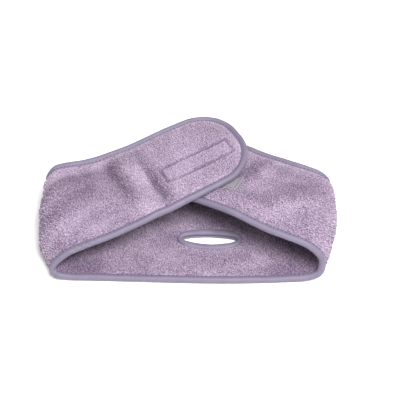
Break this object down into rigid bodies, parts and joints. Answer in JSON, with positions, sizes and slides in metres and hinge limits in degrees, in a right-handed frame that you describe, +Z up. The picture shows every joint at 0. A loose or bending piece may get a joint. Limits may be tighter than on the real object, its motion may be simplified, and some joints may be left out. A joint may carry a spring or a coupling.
{
  "type": "spa headband",
  "caption": "Wide lilac fleece headband with bound edges, a ponytail slit in the back and a rounded flap that closes with hook and loop tape.",
  "frame": {"origin": "on the surface it rests on, under the middle of the whole folded band", "axes": "+X along the back of the band to the right, +Y from the near edge to the far edge, +Z up"},
  "size_m": [0.2644, 0.1624, 0.0518],
  "materials": {
    "fleece": "soft short-pile fleece, lilac, matt with a pale sheen",
    "binding": "smooth grey-lavender knit binding, slight satin sheen",
    "thread": "fine polyester sewing thread",
    "hook": "pale grey woven tape with fine nylon hooks",
    "loop": "pale grey brushed nylon loop tape"
  },
  "bodies": {
    "back": {"back_panel": "fleece", "back_binding_near": "binding", "back_binding_far": "binding", "slit_binding": "binding", "back_seam_near": "thread", "back_seam_far": "thread", "slit_seam": "thread"},
    "left_arm": {"left_arm_panel": "fleece", "left_arm_binding_near": "binding", "left_arm_binding_far": "binding", "left_arm_seam_near": "thread", "left_arm_seam_far": "thread"},
    "flap": {"flap_panel": "fleece", "flap_binding": "binding", "flap_seam": "thread", "hook_tape": "hook", "hook_tape_stitching": "thread"},
    "right_arm": {"right_arm_panel": "fleece", "right_arm_binding": "binding", "right_arm_seam": "thread", "loop_tape": "loop", "loop_tape_stitching": "thread"}
  },
  "joints": [
    {"name": "left_arm_fold", "type": "hinge", "parent": "back", "child": "left_arm", "pos_m": [-0.1391, -0.0286, 0.026], "axis": [0.2079, -0.9781, 0], "range_deg": [0, 150]},
    {"name": "right_arm_fold", "type": "hinge", "parent": "back", "child": "right_arm", "pos_m": [0.1409, -0.0286, 0.022], "axis": [0.225, 0.9744, 0], "range_deg": [0, 75]},
    {"name": "flap_peel", "type": "hinge", "parent": "left_arm", "child": "flap", "pos_m": [-0.0441, 0.0074, 0.042], "axis": [0.4226, -0.9063, 0], "range_deg": [0, 80]}
  ],
  "couplings": [
    {"joint": "right_arm_fold", "follows": "left_arm_fold", "ratio": 0.5}
  ]
}
